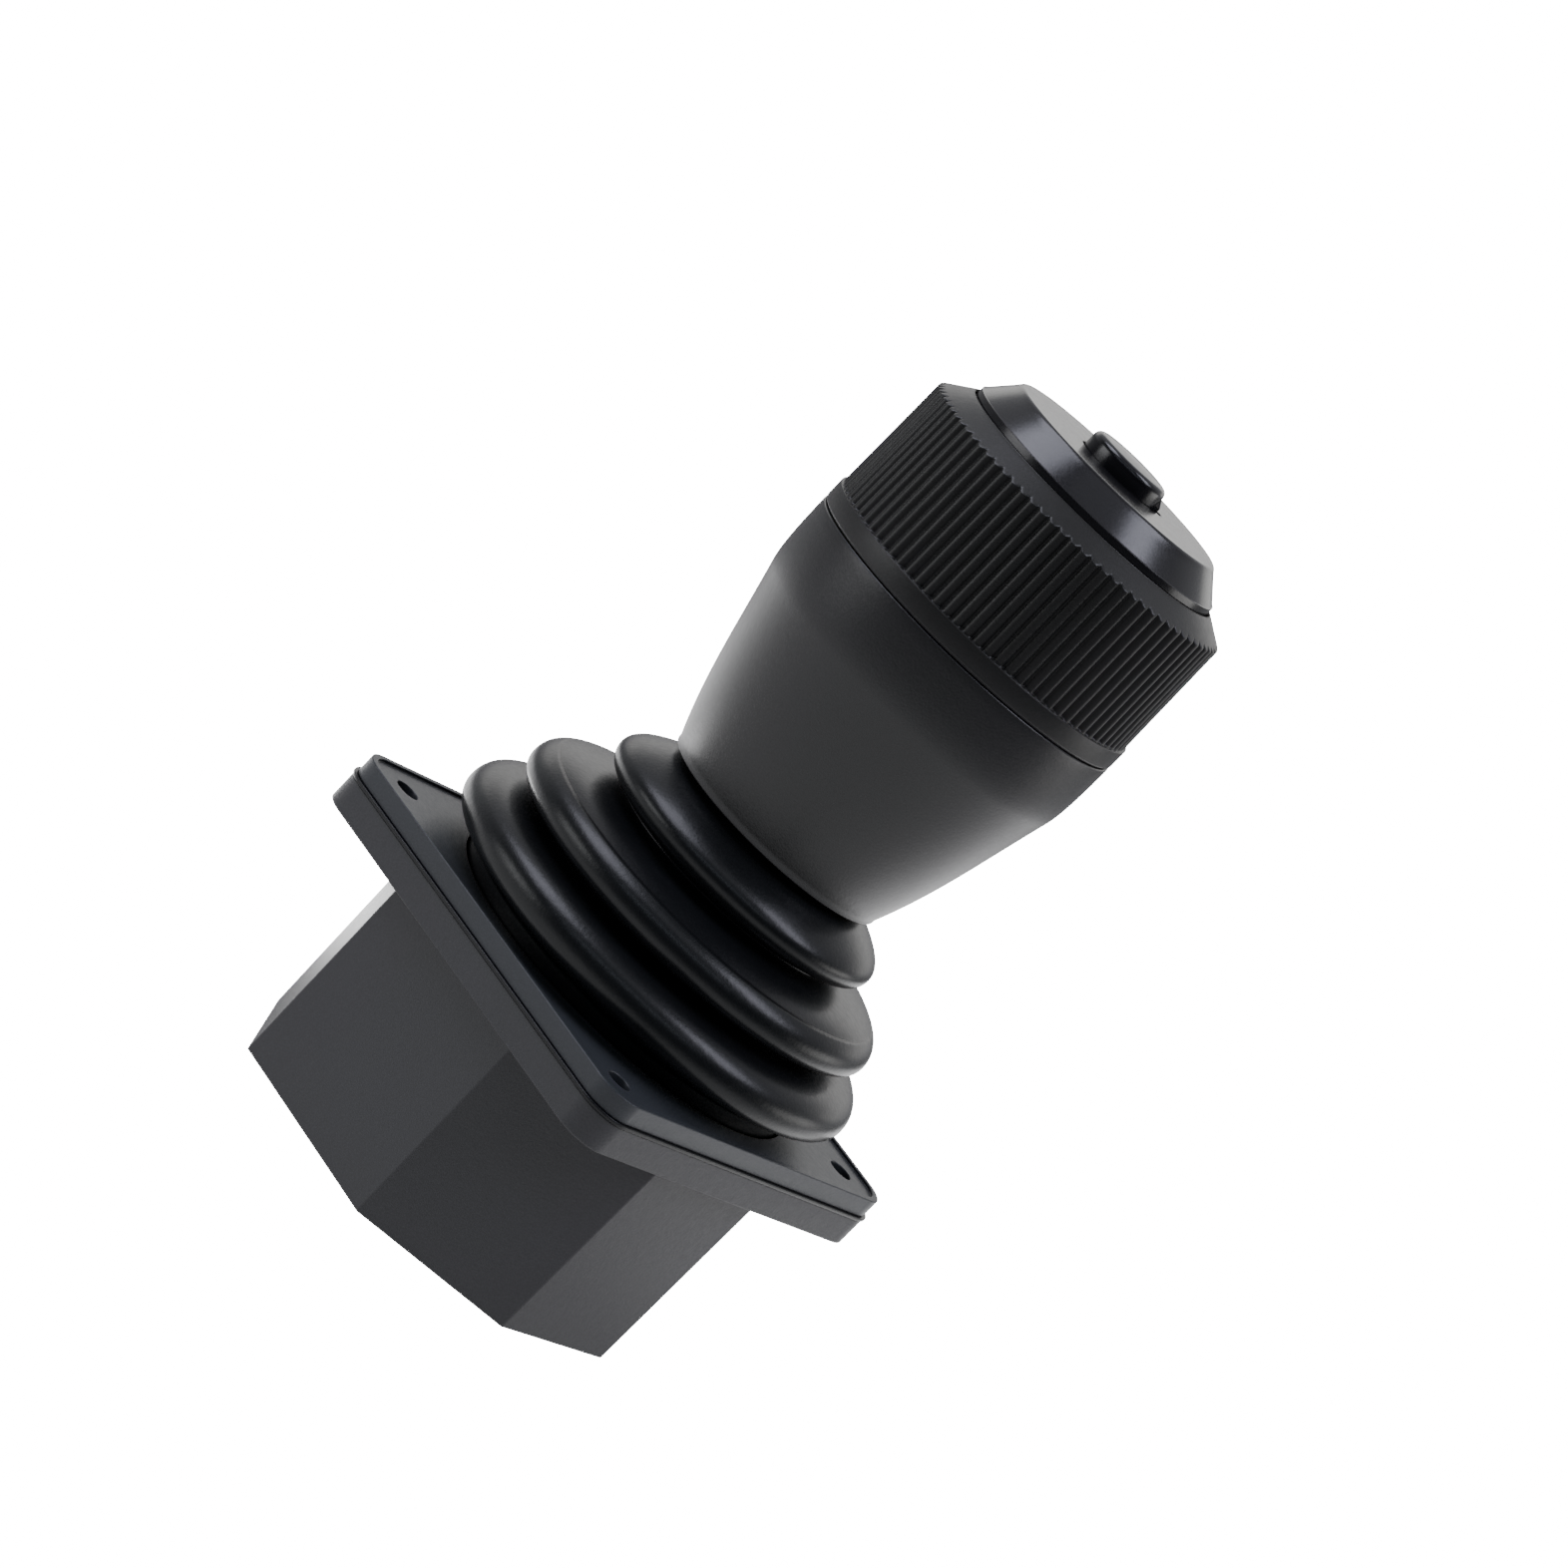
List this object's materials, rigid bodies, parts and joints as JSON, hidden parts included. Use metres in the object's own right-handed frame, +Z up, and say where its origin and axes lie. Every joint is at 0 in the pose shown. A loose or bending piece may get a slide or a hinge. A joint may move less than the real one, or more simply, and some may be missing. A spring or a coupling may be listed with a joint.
{
  "type": "industrial joystick",
  "caption": "Panel-mounted hand joystick: octagonal housing under a square flange, folded rubber gaiter, tapered grip with a ribbed twist ring and a push button on top.",
  "frame": {"origin": "centre of the four mounting holes, on the underside of the flange, which is the face that rests on the panel", "axes": "+Z runs up the stick at rest, +X and +Y run square to the flange's sides; the first tilt axis lies along X and the second along Y"},
  "size_m": [0.0624, 0.0624, 0.1232],
  "materials": {
    "housing_plastic": "fine-textured moulded black plastic, matt, with a light eroded grain",
    "bezel_plastic": "satin black moulded plastic, slightly bluish, smoother than the housing",
    "gaiter_rubber": "soft black moulded rubber with a dull satin sheen on the folds",
    "grip_plastic": "matt soft-touch black plastic",
    "ring_plastic": "satin black moulded plastic with fine vertical ribs",
    "cap_plastic": "glossy black moulded plastic",
    "connector_plastic": "black glass-filled connector plastic",
    "steel": "bright zinc-plated or spring steel",
    "ring_alloy": "machined aluminium alloy",
    "bronze": "sintered bronze, oil-filled",
    "contact_metal": "gold-flashed contact pins",
    "acetal": "natural white acetal, smooth",
    "circuit_board": "green solder mask on glass-epoxy board",
    "chip_plastic": "black moulded component body",
    "magnet": "nickel-plated magnet"
  },
  "bodies": {
    "base": {"housing": "housing_plastic", "bottom_cover": "housing_plastic", "cover_screws": "steel", "sensor_board": "circuit_board", "tilt_sensor": "chip_plastic", "connector_shell": "connector_plastic", "connector_pins": "contact_metal", "gimbal_frame": "housing_plastic", "frame_screws": "steel", "pivot_bushes": "bronze", "gate_plate": "acetal", "bezel": "bezel_plastic", "gaiter": "gaiter_rubber", "return_spring_x": "steel"},
    "gimbal": {"gimbal_ring": "ring_alloy", "trunnion_pins": "steel", "ring_bushes": "bronze", "spring_lever_x": "steel", "return_spring_y": "steel"},
    "stick": {"stick_shaft": "steel", "pivot_ball": "housing_plastic", "cross_pin": "steel", "stick_magnet": "magnet", "spring_lever_y": "steel", "grip_body": "grip_plastic", "grip_washer": "steel", "grip_nut": "steel", "grip_core": "acetal", "core_screws": "steel", "ring_seal": "gaiter_rubber", "twist_board": "circuit_board", "twist_sensor": "chip_plastic", "twist_spring": "steel", "button_board": "circuit_board", "switch_holder": "acetal", "switch_body": "chip_plastic", "button_spring": "steel", "cap": "cap_plastic"},
    "ring": {"twist_ring": "ring_plastic", "twist_magnet": "magnet"},
    "button": {"push_button": "cap_plastic", "switch_plunger": "acetal"}
  },
  "joints": [
    {"name": "tilt_x", "type": "hinge", "parent": "base", "child": "gimbal", "pos_m": [0, 0, -0.0075], "axis": [1, 0, 0], "range_deg": [-20, 20], "stiffness_Nm_per_rad": 0.4, "deforming": ["gaiter", "return_spring_x"]},
    {"name": "tilt_y", "type": "hinge", "parent": "gimbal", "child": "stick", "pos_m": [0, 0, -0.0075], "axis": [0, 1, 0], "range_deg": [-20, 20], "stiffness_Nm_per_rad": 0.4, "deforming": ["gaiter", "return_spring_y"]},
    {"name": "ring_twist", "type": "hinge", "parent": "stick", "child": "ring", "pos_m": [0, 0, 0.07], "axis": [0, 0, 1], "range_deg": [-35, 35], "stiffness_Nm_per_rad": 0.08, "deforming": ["twist_spring"]},
    {"name": "button_press", "type": "slide", "parent": "stick", "child": "button", "axis": [0, 0, -1], "range_m": [0, 0.0012], "stiffness_N_per_m": 1500, "springref_m": -0.001, "deforming": ["button_spring"]}
  ]
}
